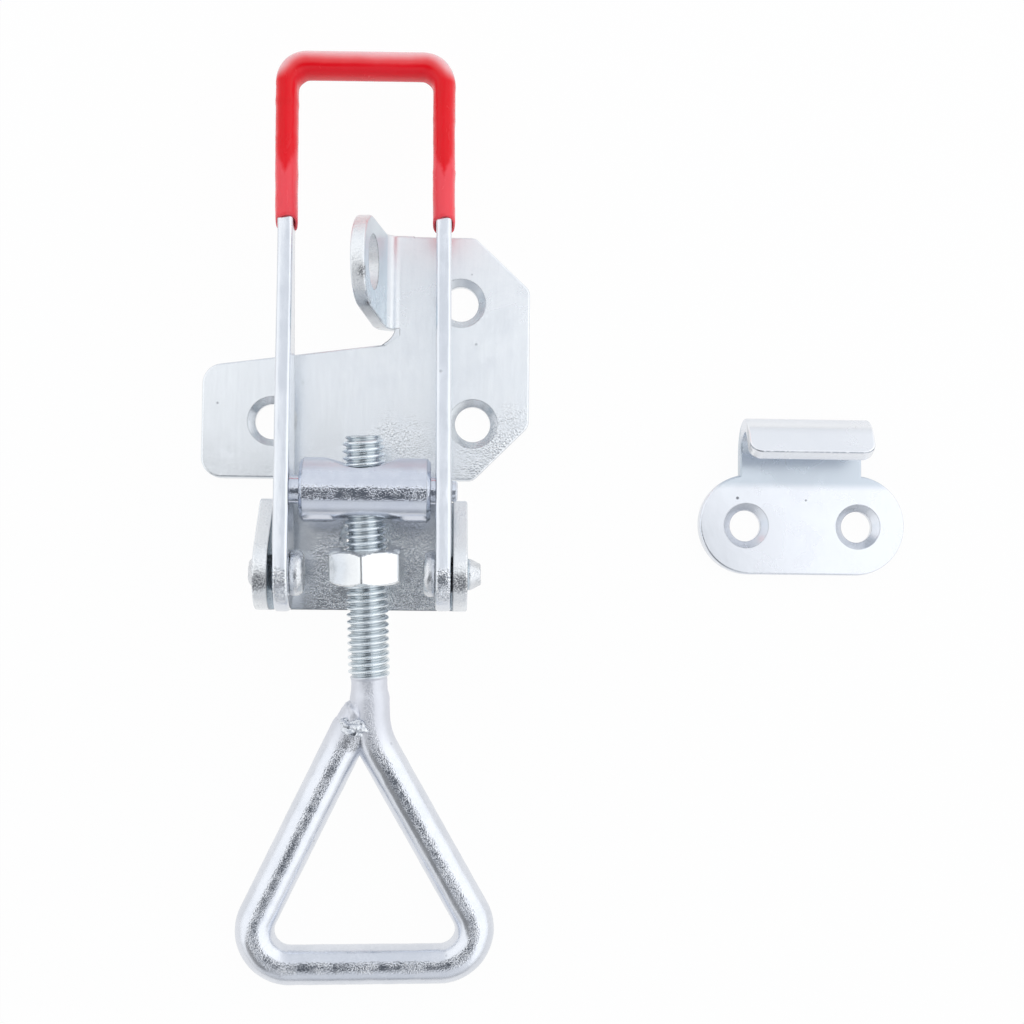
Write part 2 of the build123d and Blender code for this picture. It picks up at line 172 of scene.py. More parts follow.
# ------------------------------------------------------------------ zinc plating
WHITE, PALE, MID = (0.795, 0.825, 0.875), (0.86, 0.89, 0.92), (0.80, 0.83, 0.865)
FLECK_DARK, FLECK_LIGHT = (0.32, 0.35, 0.40), (0.97, 0.98, 0.99)
PIT, RIM, DARK_SPOT = (0.16, 0.17, 0.2), (0.25, 0.27, 0.30), (0.26, 0.27, 0.29)


class Zinc:
    """Zinc plating, built up in steps: first the calls that say where the sand lies, then paint(), then the
    marks, each over the ones before, and last material(), which adds the relief."""

    def __init__(self, name, blotch, sand_size=0.25, brush=(1, 1, 1)):
        """blotch and sand_size are widths in mm. A small share in brush draws the streaks out that way."""
        self.made, self.tree, self.shader = principled(name)
        tree = self.tree
        self.where = tree.place()
        self.cloud = tree.noise(self.where, blotch, 4, 0.6, 0.4)
        self.grain = tree.span(tree.noise(self.where, sand_size, 1, 0.5), 0.36, 0.64)
        self.fleck = tree.noise(self.where, 0.8 * sand_size, 1, 0.5)
        self.streak = tree.noise(tree.scaled(self.where, brush), 0.5, 3, 0.6)
        self.sand = tree.span(tree.noise(self.where, 2.2, 2, 0.5), 0.35, 0.62, 0.35, 1.0)

    def near(self, centre, inner, outer):
        """1 within the inner distance of a point, 0 beyond the outer one, all in mm."""
        away = self.tree.distance(self.where, tuple(c * MM for c in centre))
        return self.tree.span_mm(away, inner, outer, 1.0, 0.0)

    def tint(self, share, colour):
        self.colour = self.tree.mix(share, self.colour, colour)

    def roughen(self, extra):
        self.rough = self.tree.plus(self.rough, extra)

    def sand_at(self, places, elsewhere):
        """Keeps the sand to places of (centre, inner, outer, share), over the share there is elsewhere."""
        for centre, inner, outer, share in places:
            there = self.tree.times(self.near(centre, inner, outer), share)
            elsewhere = self.tree.larger(elsewhere, there)
        self.sand = self.tree.times(self.sand, elsewhere)

    def sand_between(self, low, high, elsewhere, fade=0.5):
        """Keeps the sand to a band along y."""
        tree = self.tree
        y = tree.split(self.where)[1]
        inside = tree.times(tree.span_mm(y, low, low + fade), tree.span_mm(y, high - fade, high, 1.0, 0.0))
        self.sand = tree.times(self.sand, tree.larger(inside, elsewhere))

    def sand_on_top(self):
        """Keeps the sand to where the surface faces up."""
        up = self.tree.split(self.tree.normal())[2]
        self.sand = self.tree.times(self.sand, self.tree.span(up, 0.93, 0.985, 0.1, 1.0))

    def paint(self, pale, dark, rough, flecks, specks=0.0):
        """Colour from dark to pale and gloss between two roughnesses, both in blotches, with dark and light
        flecks in the sand and a few small dark specks."""
        tree = self.tree
        tone = tree.plus(tree.times(self.cloud, 0.7), tree.times(self.streak, 0.3))
        self.colour = tree.mix(tree.span(tone, 0.38, 0.62), dark, pale)
        low = tree.span(self.fleck, 0.34, 0.46, 0.55 * flecks, 0.0)
        self.tint(tree.times(low, self.sand), FLECK_DARK)
        high = tree.span(self.fleck, 0.52, 0.60, 0.0, 0.9 * flecks)
        self.tint(tree.times(high, self.sand), FLECK_LIGHT)
        if specks:
            cells = {"Vector": self.where, "Scale": 1 / MM / 3.2}
            middles = tree.node("ShaderNodeTexVoronoi", cells, feature="F1").outputs["Distance"]
            dots = tree.span(middles, 0.05, 0.09, 1.0, 0.0)
            rare = tree.span(tree.noise(self.where, 5.0, 1), 0.53, 0.6, 0.0, specks)
            self.tint(tree.times(dots, rare), PIT)
        wear = tree.plus(self.cloud, tree.times(self.fleck, self.sand, 0.05 * flecks))
        self.rough = tree.span(wear, 0.38, 0.62, *rough, kind="LINEAR")

    def dull(self, low, high, extra):
        """Less gloss towards +Y."""
        self.roughen(self.tree.span_mm(self.tree.split(self.where)[1], low, high, 0.0, extra))

    def rim(self, width):
        """A thin painted line of shade along corners."""
        eased = self.tree.node("ShaderNodeBevel", {"Radius": width * MM}, samples=6).outputs[0]
        corner = self.tree.span(self.tree.dot(self.tree.normal(), eased), 0.90, 0.995, 0.8, 0.0)
        self.tint(corner, RIM)

    def dark_spot(self, centre, inner, outer):
        """A mottled dark spot."""
        mottle = self.tree.span(self.fleck, 0.38, 0.6, 1.0, 0.25)
        self.tint(self.tree.times(self.near(centre, inner, outer), mottle), DARK_SPOT)

    def material(self, metal=1.0, sand=0.0, lines=0.0, swell=0.0, edge=0.0):
        """sand, lines and swell are the heights in mm of the sand, the brushing and the slow waves. edge is
        the radius that corners are softened to. metal is the share of metal in the look."""
        tree, shader = self.tree, self.shader
        height = tree.times(self.grain, self.sand, sand)
        if lines:
            height = tree.plus(height, tree.times(self.streak, lines))
        height = tree.plus(height, tree.times(self.cloud, swell))
        soft = tree.node("ShaderNodeBevel", {"Radius": edge * MM}, samples=4).outputs[0] if edge else None
        relief = {"Strength": 1.0, "Distance": MM, "Height": height, "Normal": soft}
        shader.inputs["Metallic"].default_value = metal
        tree.put(shader.inputs["Base Color"], self.colour)
        tree.put(shader.inputs["Roughness"], self.rough)
        tree.put(shader.inputs["Normal"], tree.node("ShaderNodeBump", relief).outputs[0])
        return self.made


def base_zinc():
    """Satin plate, brushed along Y and sandy by the pivots, with a painted highlight on the sheared edges and
    painted bluish shade on the faces of what stands up.
    """
    zinc = Zinc("zinc_base", 6.0, 0.27, (1, 0.08, 1))
    tree = zinc.tree
    facing = tree.absolute(tree.split(tree.normal("True Normal"))[0])
    standing = tree.span_mm(tree.split(zinc.where)[2], SHEET + 0.4, SHEET + 1.4)
    cut = tree.times(tree.span(facing, 0.2, 0.4, 1.0, 0.0), standing)
    sandy = [
        ((22, 11, 2), 3, 12, 0.6),      # right wing
        ((5, 14, 2), 0, 8, 0.45),       # behind the barrel
        ((2, -6, 2), 7, 12, 1),         # channel
        ((15, -6, 16), 2, 3, 1),        # right pivot ear
        ((-14.5, -6, 16), 2, 3, 1),     # left pivot ear
    ]
    dark_spots = [
        ((15, -6.4, 17.5), 0.9, 1.9),   # tops of the pivot ears
        ((13.6, -6.6, 17.5), 0.9, 1.9),
        ((-13.6, -6.6, 17.5), 0.9, 1.9),
        ((-15, -6.8, 17.3), 0.8, 1.7),
        ((0.4, 36.0, 19.6), 0.5, 1.4),  # rim of the padlock ear
        ((1.0, 32.3, 15.7), 0.4, 1.4),
    ]
    zinc.sand_at(sandy, tree.larger(cut, 0.04))
    zinc.paint(PALE, MID, (0.18, 0.27), flecks=1.3, specks=0.5)
    zinc.roughen(tree.times(cut, 0.1))
    # Painted highlight: the sheared edges of what stands up are painted pale.
    zinc.tint(tree.times(cut, 0.7), (0.93, 0.95, 0.965))
    # Painted shade: the faces of what stands up, the ears among them, are painted bluish grey.
    zinc.tint(tree.times(tree.span(facing, 0.9, 0.97), standing), (0.70, 0.79, 0.85))
    zinc.dull(30, 42, 0.13)
    zinc.rim(0.3)
    for dark_spot in dark_spots:
        zinc.dark_spot(*dark_spot)
    return zinc.material(metal=0.85, sand=0.035, lines=0.003, swell=0.02, edge=0.10)


def keeper_zinc():
    """Pale satin plate with painted shade under its hook, whose lip is painted whiter, with a painted line of
    shade along its edge.
    """
    zinc = Zinc("zinc_keeper", 7.0, 0.3, (1, 0.3, 1))
    tree = zinc.tree
    zinc.paint((0.85, 0.875, 0.93), (0.81, 0.84, 0.895), (0.2, 0.3), flecks=0.0, specks=0.9)
    zinc.rim(0.3)
    y, z = tree.split(zinc.where)[1:]
    # Painted shade on the plate under the hook.
    low = tree.span_mm(z, SHEET + 0.2, SHEET + 1.4, 1.0, 0.0)
    zinc.tint(tree.times(tree.span_mm(y, 8.0, 9.4), low), (0.60, 0.66, 0.73))
    # Painted light: the lip is painted whiter.
    lip = tree.span_mm(z, 6.5, 8.5)
    zinc.tint(tree.times(lip, 0.8), (0.94, 0.955, 0.98))
    # Painted shade: a thin dark line on the lip's rounded edge, picked by which way the surface faces.
    tilt = tree.split(tree.normal())[1]
    edge = tree.span(tree.absolute(tree.plus(tilt, 0.2)), 0.15, 0.4, 0.85, 0.0)
    edge = tree.times(edge, tree.span(zinc.streak, 0.36, 0.56, 0.35, 1.0))
    zinc.tint(tree.times(edge, lip), (0.30, 0.33, 0.38))
    return zinc.material(metal=0.85, lines=0.002, swell=0.015, edge=0.08)


def handle_zinc():
    """Bright strip, brushed along its length, sandy on top at the pivots."""
    zinc = Zinc("zinc_handle", 5.0, brush=(1, 0.04, 1))
    zinc.sand_at([((x, -7, 17), 2.0, 3.2, 1) for x in (12, -12)], 0.03)
    zinc.paint(WHITE, (0.75, 0.78, 0.83), (0.14, 0.22), flecks=1.0, specks=0.25)
    return zinc.material(metal=0.95, sand=0.05, lines=0.003, swell=0.015)


def barrel_zinc():
    """Bright turned pin with a sandy band along the top and a duller back."""
    zinc = Zinc("zinc_barrel", 3.0, 0.26, (0.05, 1, 1))
    zinc.sand_between(4.8, 7.3, 0.05)
    zinc.paint((0.76, 0.795, 0.87), (0.70, 0.735, 0.82), (0.15, 0.21), flecks=0.2)
    zinc.dull(8.4, 9.8, 0.26)
    zinc.rim(0.2)
    return zinc.material(sand=0.03, lines=0.004, swell=0.01, edge=0.1)


def bar_zinc():
    """Bright drawn bar, sandy on top, with a greenish thread, painted shade in its grooves, a matt neck and a
    painted shadow where the loop's legs meet.
    """
    zinc = Zinc("zinc_bar", 4.0, 0.24)
    tree = zinc.tree
    zinc.sand_on_top()
    zinc.paint((0.79, 0.815, 0.87), (0.72, 0.75, 0.81), (0.16, 0.25), flecks=0.6, specks=0.25)
    from_barrel = tree.vector("SUBTRACT", zinc.where, tuple(BARREL * MM))
    along = tree.dot(from_barrel, tuple(ROD))
    axis = tree.node("ShaderNodeVectorMath", {0: tuple(ROD), "Scale": along}, operation="SCALE").outputs[0]
    radius = tree.distance(from_barrel, axis)
    zinc.tint(tree.span_mm(along, THREAD_END - 0.6, THREAD_END, 0.6, 0.0), (0.86, 0.93, 0.95))
    # Painted shade in the thread's grooves, strongest at their root.
    groove_shade = tree.span_mm(radius, 2.42, 2.8, 0.42, 0.0)
    threaded = tree.span_mm(along, THREAD_END - 0.2, THREAD_END + 0.2, 1.0, 0.0)
    zinc.tint(tree.times(groove_shade, threaded), (0.30, 0.34, 0.37))
    run_out = (THREAD_END - 0.6, THREAD_END + 0.2)
    neck = tree.times(tree.span_mm(along, *run_out), tree.span_mm(along, 32, 38, 1.0, 0.0))
    zinc.roughen(tree.times(neck, 0.3))
    zinc.roughen(tree.span_mm(along, *run_out, 0.07, 0.0))
    zinc.tint(tree.times(neck, 0.5), (0.72, 0.73, 0.79))
    # Painted shadow in the crotch where the loop's two legs meet.
    zinc.dark_spot((-0.9, -28.6, 9.4), 1.0, 1.8)
    return zinc.material(sand=0.04, swell=0.010)


def nut_zinc():
    """Palest of all, with thin painted lines of shade along its corners."""
    zinc = Zinc("zinc_nut", 3.0)
    zinc.paint((0.895, 0.915, 0.925), (0.86, 0.88, 0.895), (0.18, 0.26), flecks=0.0, specks=0.2)
    zinc.rim(0.2)
    return zinc.material(metal=0.85, swell=0.01)


def rivet_zinc():
    """Greyer, uneven and flecked from the hammer."""
    zinc = Zinc("zinc_rivet", 1.6)
    zinc.paint((0.78, 0.80, 0.83), (0.66, 0.68, 0.71), (0.20, 0.32), flecks=0.4, specks=0.5)
    zinc.rim(0.25)
    return zinc.material(metal=0.9, sand=0.02, swell=0.05)


def weld_zinc():
    """In dark and pale blotches, the most uneven of all."""
    zinc = Zinc("zinc_weld", 1.5)
    zinc.paint(PALE, (0.45, 0.48, 0.54), (0.18, 0.3), flecks=0.5, specks=0.8)
    return zinc.material(sand=0.01, swell=0.06)


def vinyl():
    """Glossy soft red vinyl on the U, with painted highlights on its sides, at its open ends and towards the
    grip's far edge, less shiny on its inner side, with fine ripple and faint rub marks."""
    material, tree, shader = principled("red_vinyl")
    where = tree.place()
    cloud = tree.noise(where, 7.0, 3, 0.5)
    fine = tree.noise(where, 0.8, 3, 0.6)
    rub = tree.noise(tree.scaled(where, (1.0, 0.35, 1.0)), 1.4, 4, 0.65, 1.2)
    x, y, z = tree.split(where)
    x = tree.minus(x, HANDLE_X * MM)
    cos, sin = math.cos(HANDLE_SKEW), math.sin(HANDLE_SKEW)
    along = tree.minus(tree.times(y, cos), tree.times(x, sin))
    aside = tree.absolute(tree.plus(tree.times(x, cos), tree.times(y, sin)))

    # How far a point lies outside the strip's middle line, less than 0 inside it.
    past_x = tree.minus(aside, (MID_X - MID_BEND) * MM)
    past_y = tree.minus(along, (MID_END - MID_BEND) * MM)
    out_x, out_y = tree.larger(past_x, 0.0), tree.larger(past_y, 0.0)
    corner = tree.math("SQRT", tree.plus(tree.times(out_x, out_x), tree.times(out_y, out_y)))
    across = tree.plus(corner, tree.math("MINIMUM", tree.larger(past_x, past_y), 0.0))
    across = tree.minus(across, MID_BEND * MM)
    off = tree.absolute(across)

    colour = tree.mix(tree.span(cloud, 0.35, 0.65), (0.78, 0.001, 0.008), (0.83, 0.002, 0.012))
    # Painted highlight: the strip's sides are painted lighter and pinker.
    colour = tree.mix(tree.span_mm(off, 0.5, 1.5, 0.0, 0.8), colour, (0.86, 0.03, 0.045))
    # Painted highlight: lighter towards the open ends, in a V.
    open_end = tree.minus(along, tree.times(off, 2.2))
    open_end = tree.plus(open_end, tree.times(tree.minus(fine, 0.5), 1.5 * MM))
    colour = tree.mix(tree.span_mm(open_end, 50.2, 52.0, 0.9, 0.0), colour, (0.93, 0.085, 0.11))
    grip_top = tree.times(tree.span_mm(past_y, 0.2, 2.4), tree.span_mm(z, 10.4, 12.4))
    wavy = tree.plus(across, tree.times(tree.minus(cloud, 0.5), 0.9 * MM))
    half_lit = tree.times(tree.span_mm(wavy, -0.9, 0.5, 0.0, 0.75), grip_top)
    colour = tree.mix(half_lit, colour, (0.87, 0.17, 0.18))
    full_lit = tree.times(tree.span_mm(wavy, -0.1, 1.3, 0.0, 0.95), grip_top)
    colour = tree.mix(full_lit, colour, (0.90, 0.52, 0.54))
    colour = tree.mix(tree.span(rub, 0.66, 0.8, 0.0, 0.25), colour, (0.86, 0.13, 0.15))

    height = tree.plus(tree.times(fine, 0.35), cloud)
    relief = {"Strength": 0.35, "Distance": 0.06 * MM, "Height": height}
    settings = {
        "Base Color": colour,
        "Roughness": tree.span(rub, 0.4, 0.8, 0.16, 0.34, kind="LINEAR"),
        "Specular IOR Level": tree.span_mm(across, -1.55, -0.9, 0.1, 0.34),
        "IOR": 1.42,
        "Subsurface Weight": 0.08,
        "Subsurface Scale": 0.6 * MM,
        "Subsurface Radius": (1.0, 0.15, 0.1),
        "Normal": tree.node("ShaderNodeBump", relief).outputs[0],
    }
    for name, value in settings.items():
        tree.put(shader.inputs[name], value)
    return material


mats = {
    "base": base_zinc(),
    "keeper": keeper_zinc(),
    "handle": handle_zinc(),
    "barrel": barrel_zinc(),
    "bar": bar_zinc(),
    "nut": nut_zinc(),
    "rivet": rivet_zinc(),
    "weld": weld_zinc(),
    "vinyl": vinyl(),
}


def dress(obj, material, smooth=True):
    obj.data.materials.clear()
    obj.data.materials.append(mats[material])
    if smooth:
        obj.data.shade_smooth()


# ------------------------------------------------------------------ mesh helpers


def mesh_object(name, bm):
    mesh = bpy.data.meshes.new(name)
    bm.to_mesh(mesh)
    bm.free()
    obj = bpy.data.objects.new(name, mesh)
    bpy.context.scene.collection.objects.link(obj)
    return obj


def skin(name, rings, ends="capped"):
    """A tube through rings of points in mm, with its ends capped, open, or joined to each other."""
    bm = bmesh.new()
    rows = [[bm.verts.new(Vector(point) * MM) for point in ring] for ring in rings]
    count = len(rows[0])
    after = rows[1:] + rows[:1] if ends == "joined" else rows[1:]
    for a, b in zip(rows, after):
        for i in range(count):
            j = (i + 1) % count
            bm.faces.new((a[i], a[j], b[j], b[i]))
    if ends == "capped":
        for row in (rows[0], rows[-1]):
            middle = bm.verts.new(sum((vert.co for vert in row), Vector()) / count)
            for i in range(count):
                bm.faces.new((row[i], row[(i + 1) % count], middle))
    bmesh.ops.recalc_face_normals(bm, faces=bm.faces)
    return mesh_object(name, bm)


def stand_in(obj, material, node):
    """Dresses a mesh and puts it in the place of a CAD node."""
    dress(obj, material)
    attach(obj, body_of[node])
    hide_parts(node)
    return obj


def lathe(name, profile, origin, axis, steps, dent):
    """Revolves (distance along the axis, radius) points in mm, and moves each along the axis by its dent."""
    across = axis.orthogonal().normalized()
    aside = axis.cross(across)
    rings = []
    for distance, radius in profile:
        ring = []
        for i in range(steps):
            angle = TAU * i / steps
            out = across * math.cos(angle) + aside * math.sin(angle)
            point = origin + axis * distance + out * radius
            ring.append(point + axis * dent(point, radius))
        rings.append(ring)
    return skin(name, rings)


def rounded(points, radius, steps=5):
    """A polyline of (x, y) with its inner corners rounded, by less where its sides are short."""
    out = [Vector(points[0])]
    for trio in zip(points, points[1:], points[2:]):
        before, corner, after = (Vector(point) for point in trio)
        back, on = before - corner, after - corner
        cut = min(radius, back.length * 0.45, on.length * 0.45)
        start, end = corner + back.normalized() * cut, corner + on.normalized() * cut
        for i in range(steps + 1):
            f = i / steps
            out.append((1 - f) ** 2 * start + 2 * f * (1 - f) * corner + f * f * end)
    out.append(Vector(points[-1]))
    return out


def stepped(start, end, step):
    """Points from after start to end, about a step apart."""
    count = max(1, int((end - start).length / step))
    return [start.lerp(end, (i + 1) / count) for i in range(count)]


def fillet_path(points, radii, step):
    """A polyline with an arc of the given radius at each inner corner, sampled evenly."""
    path = [Vector(points[0])]
    for trio, radius in zip(zip(points, points[1:], points[2:]), radii):
        before, corner, after = (Vector(point) for point in trio)
        back, on = (before - corner).normalized(), (after - corner).normalized()
        opening = math.acos(max(-1, min(1, back.dot(on))))
        cut = radius / math.tan(opening / 2)
        centre = corner + (back + on).normalized() * (radius / math.sin(opening / 2))
        path += stepped(path[-1], corner + back * cut, step)
        first, last = corner + back * cut - centre, corner + on * cut - centre
        turn = math.copysign(math.pi - opening, first.x * last.y - first.y * last.x)
        count = max(4, int(radius * abs(turn) / (step * 0.6)))
        for i in range(1, count + 1):
            cos, sin = math.cos(turn * i / count), math.sin(turn * i / count)
            path.append(centre + Vector((first.x * cos - first.y * sin, first.x * sin + first.y * cos)))
    return path + stepped(path[-1], Vector(points[-1]), step)


def way_at(line, k):
    """Direction of a line of points at one of them."""
    return (line[min(len(line) - 1, k + 1)] - line[max(0, k - 1)]).normalized()


def unit(value):
    return max(0, min(1, value))


# ------------------------------------------------------------------ hook: thread, neck and loop in one tube
TAIL = 7.6                                      # rod's end behind the barrel
NECK_R, NECK_END = 2.55, 29.4
PITCH, CREST_R, THREAD_DEPTH = 1.0, 2.96, 0.60
FLANK_MIDDLE, FLANK_STEEPNESS = 0.48, 9         # in shares of half a turn, and how steep the flanks are
LEAD_IN, LEAD_DROP, RUN_OUT = 0.9, 0.55, 0.8    # bevel at the tail, its depth, and the fade into the neck
LEG_SPREAD = math.tan(math.radians(27.5))       # each leg of the loop to the rod
BAR_TILT = math.tan(math.radians(1.3))          # the loop's bar isn't quite square to the rod
APEX, LOOP_SHIFT = 31.54, -1.6                  # where the legs would meet, and how far left
SHOULDER_BEND, CORNER_BEND = 12.0, 5.1
FREE_END = 32.4
RING_POINTS = 56


def corner_reach(side):
    """How far along the rod's direction the middle lines of a leg and the bar would meet."""
    tilt = side * BAR_TILT * LEG_SPREAD
    return (REACH - APEX * tilt) / (1 - tilt)


def leg_point(side, reach):
    """Point of a leg's middle line that far along the rod's direction."""
    return (LOOP_SHIFT + side * (reach - APEX) * LEG_SPREAD, reach)


def thread_radius(along, angle):
    """M6 right-hand thread, rounded at crest and root, from the tail to where it fades into the neck."""
    turn = (along / PITCH - angle / TAU) % 1.0
    ridge = 1 / (1 + math.exp(-(abs(turn - 0.5) * 2 - FLANK_MIDDLE) * FLANK_STEEPNESS))
    start = unit((along + TAIL) / LEAD_IN)
    end = unit((THREAD_END + 0.25 - along) / RUN_OUT)
    crest = CREST_R - LEAD_DROP * (1 - start)
    root = crest - THREAD_DEPTH * min(start * 1.6, 1)
    cut = root + (crest - root) * ridge
    return NECK_R + (cut - NECK_R) * end


def bar_ring(across, point):
    """Ring of points, each one given by point() from its outward direction and its angle."""
    angles = [TAU * i / RING_POINTS for i in range(RING_POINTS)]
    return [point(across * math.cos(angle) + UP * math.sin(angle), angle) for angle in angles]


def thread_rings(end, step=0.1):
    for i in range(round((end + TAIL) / step)):
        along = step * i - TAIL
        centre = BARREL + ROD * along
        yield bar_ring(SIDE, lambda out, angle: centre + out * thread_radius(along, angle))


def neck_rings(start, step=0.3, swell=1.4):
    """From the thread's radius to the bar's, with small dents."""
    for i in range(round((NECK_END - start) / step)):
        along = start + step * i
        centre = BARREL + ROD * along
        grow = max(0, (along - NECK_END + swell) / swell)
        radius = NECK_R + (WIRE - NECK_R) * grow * grow * (3 - 2 * grow)

        def dented(out, _):
            return centre + out * (radius + 0.05 * noise.noise((centre + out * 2) * 1.3))

        yield bar_ring(SIDE, dented)


def loop_rings():
    """The bent bar, along a line of (right of the rod's axis, distance from the barrel), its free end drawn
    in a little."""
    shoulder = (0, APEX - LOOP_SHIFT / LEG_SPREAD)
    corners = [leg_point(side, corner_reach(side)) for side in (1, -1)]
    line = fillet_path([(0, NECK_END), shoulder, *corners, leg_point(-1, FREE_END)],
                       [SHOULDER_BEND, CORNER_BEND, CORNER_BEND], 0.5)
    for k, at in enumerate(line):
        way = way_at(line, k)
        centre = BARREL + SIDE * at.x + ROD * at.y
        to_end = len(line) - 1 - k
        radius = WIRE * (1 - max(0, 3 - to_end) ** 2 / 30)

        def dented(out, _):
            point = centre + out * radius
            return point + out * (0.035 * noise.noise(point * 0.55) + 0.012 * noise.noise(point * 2.1))

        yield bar_ring(SIDE * way.y - ROD * way.x, dented)


def draw_hook():
    neck_start = THREAD_END + 0.3
    rings = [*thread_rings(neck_start), *neck_rings(neck_start), *loop_rings()]
    stand_in(skin("draw_hook", rings), "bar", "hook")


def weld(name, centre, size, lumps, seed, turn, material):
    """A lumpy, rippled drop. Its centre is given as (right of the rod's axis, from the barrel, up), and its
    turn in degrees."""
    turned = Matrix.Rotation(math.radians(turn), 3, "Z")
    bm = bmesh.new()
    bmesh.ops.create_icosphere(bm, subdivisions=5, radius=1.0)
    for vert in bm.verts:
        out = vert.co.normalized()
        grow = 1 + lumps * noise.noise(out * 1.6 + Vector((seed, 0, 0)))
        grow += 0.35 * lumps * noise.noise(out * 5 + Vector((0, seed, 0)))
        if out.z > 0:
            grow += 0.05 * math.sin(9 * out.y + 3 * out.x)
        x, y, z = turned @ Vector((out.x * size[0], out.y * size[1], out.z * size[2])) * grow
        vert.co = (BARREL + SIDE * (centre[0] + x) + ROD * (centre[1] - y) + UP * (centre[2] + z)) * MM
    obj = mesh_object(name, bm)
    dress(obj, material)
    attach(obj, body_of["hook"])


draw_hook()
weld("weld_bead", (-2.1, 33.2, 1.5), (2.45, 1.55, 1.75), 0.24, 3.0, -8, "weld")
weld("weld_shoulder", (-2.86, 31.95, 0.2), (1.6, 3.0, 2.1), 0.04, 8.0, -32, "bar")
weld("weld_face", (-2.1, 31.3, 1.0), (1.3, 2.0, 1.75), 0.03, 5.0, -14, "bar")

# ------------------------------------------------------------------ lock nut
NUT_FLATS, NUT_HEIGHT, NUT_PLACE = 10.0, 4.8, 10.6      # the last is its middle's distance from the barrel
NUT_TURN = math.radians(-5.5)                   # the upper corner lies that much to the left
NUT_FACE_R, CHAMFER = 4.75, math.radians(30)    # flat left on each end, and the slope of the chamfer
NUT_WEAR, WEAR_FROM = 0.07, math.radians(26.5)  # wear at a corner, and the angle from a flat where it begins
NUT_BORE = ((0.45, 2.60), (0.2, 2.8), (0, 3.15))    # (depth, radius), countersunk
NUT_POINTS = 180


def lock_nut():
    apothem = NUT_FLATS / 2
    half, sixth = NUT_HEIGHT / 2, math.radians(60)
    chamfer_depth = (apothem / math.cos(sixth / 2) - NUT_FACE_R) * math.tan(CHAMFER)

    def hexagon(angle):
        """Radius of the hexagon with worn corners."""
        from_middle = (angle - NUT_TURN) % sixth - sixth / 2
        to_corner = max(0, abs(from_middle) - WEAR_FROM) / (sixth / 2 - WEAR_FROM)
        return apothem / math.cos(from_middle) - NUT_WEAR * to_corner ** 2

    def chamfered(depth):
        cone = NUT_FACE_R + depth / math.tan(CHAMFER)
        return lambda angle: min(cone, hexagon(angle))

    def even(radius):
        return lambda angle: radius

    def ring(height, radius):
        centre = BARREL + ROD * (NUT_PLACE + height)
        points = []
        for i in range(NUT_POINTS):
            angle = TAU * i / NUT_POINTS
            points.append(centre + (UP * math.cos(angle) + SIDE * math.sin(angle)) * radius(angle))
        return points

    end = [(depth, even(radius)) for depth, radius in NUT_BORE]
    end.append((0, even(NUT_FACE_R - 0.15)))
    for part in (0, 0.12, 0.3, 0.5, 0.7, 0.9, 1.0):
        end.append((chamfer_depth * part, chamfered(chamfer_depth * part)))
    rings = [ring(depth - half, radius) for depth, radius in end]
    rings.append(ring(0, hexagon))
    rings += [ring(half - depth, radius) for depth, radius in reversed(end)]
    obj = stand_in(skin("hex_lock_nut", rings, ends="joined"), "nut", "lock_nut")
    obj.data.set_sharp_from_angle(angle=math.radians(24))


lock_nut()

# ------------------------------------------------------------------ pivot rivets
RIVET_HEAD_R, RIVET_FACE_R = 3.2, 2.75           # inner head, and its face
RIVET_BEARING_R, RIVET_NECK_R, RIVET_TAIL_R = 2.5, 1.9, 2.2     # in the leg, in the ear, outside the ear
SIDE_PLAY = 0.1                                 # inner head to the handle's leg
AXIS_R, SHOULDER = 0.02, 0.02                   # radius at a profile's ends, length of a square shoulder


def peened(point, radius):
    """Small dents from the hammer, fading towards the axis."""
    return (0.10 * noise.noise(point * 1.1) + 0.05 * noise.noise(point * 3.0)) * min(1, radius)


def rivet(name, node, side, head, tail, end, rounding):
    """A rivet from its inner head through leg and ear to its peened end. head and tail are the heights of the
    two, and end is the peened one's outline, (distance from the ear, radius)."""
    ear = side * CHANNEL_X + CHANNEL / 2
    leg = side * (HANDLE_X - PIVOT_Y * math.tan(HANDLE_SKEW)) + LEG_OUTER - STRIP - SIDE_PLAY
    inside = ear - SHEET
    inner_head = [(0, AXIS_R), (0.05, RIVET_FACE_R), (0.4 * head, RIVET_HEAD_R), (head, RIVET_HEAD_R)]
    peened_end = [(ear + distance, radius) for distance, radius in (*end, (tail, AXIS_R))]
    profile = rounded([(leg - head + distance, radius) for distance, radius in inner_head], 0.3)
    profile += [(leg + SHOULDER, RIVET_BEARING_R), (inside, RIVET_BEARING_R)]
    profile += [(inside + SHOULDER, RIVET_NECK_R), (ear, RIVET_NECK_R)]
    profile += rounded(peened_end, rounding)
    obj = lathe(name, profile, Vector((0, PIVOT_Y, PIVOT_Z)), Vector((side, 0, 0)), 72, peened)
    stand_in(obj, "rivet", node)


dome = ((SHOULDER, RIVET_TAIL_R + 0.05), (0.3, RIVET_TAIL_R), (0.9, 1.5))
cone = ((SHOULDER, RIVET_TAIL_R), (0.45, RIVET_TAIL_R), (1.85, 1.45))
rivet("rivet_left", "pivot_rivet_left", -1, 1.75, 1.0, dome, 0.35)
rivet("rivet_right", "pivot_rivet_right", 1, 1.6, 1.85, cone, 0.16)

# ------------------------------------------------------------------ the handle's U, for sleeve and strip


def handle_line(front, step):
    """The strip's middle line, up the left leg, across and down the right one."""
    corners = [(-MID_X, front), (-MID_X, MID_END), (MID_X, MID_END), (MID_X, front)]
    return fillet_path(corners, [MID_BEND, MID_BEND], step)


def outwards(line, k):
    """Direction across the line at one of its points, away from the U's inside."""
    way = way_at(line, k)
    return Vector((-way.y, way.x))


def on_handle(x, y, z):
    """A point of the straight handle, moved and turned to its place."""
    cos, sin = math.cos(HANDLE_SKEW), math.sin(HANDLE_SKEW)
    return (HANDLE_X + x * cos - y * sin, x * sin + y * cos, z)


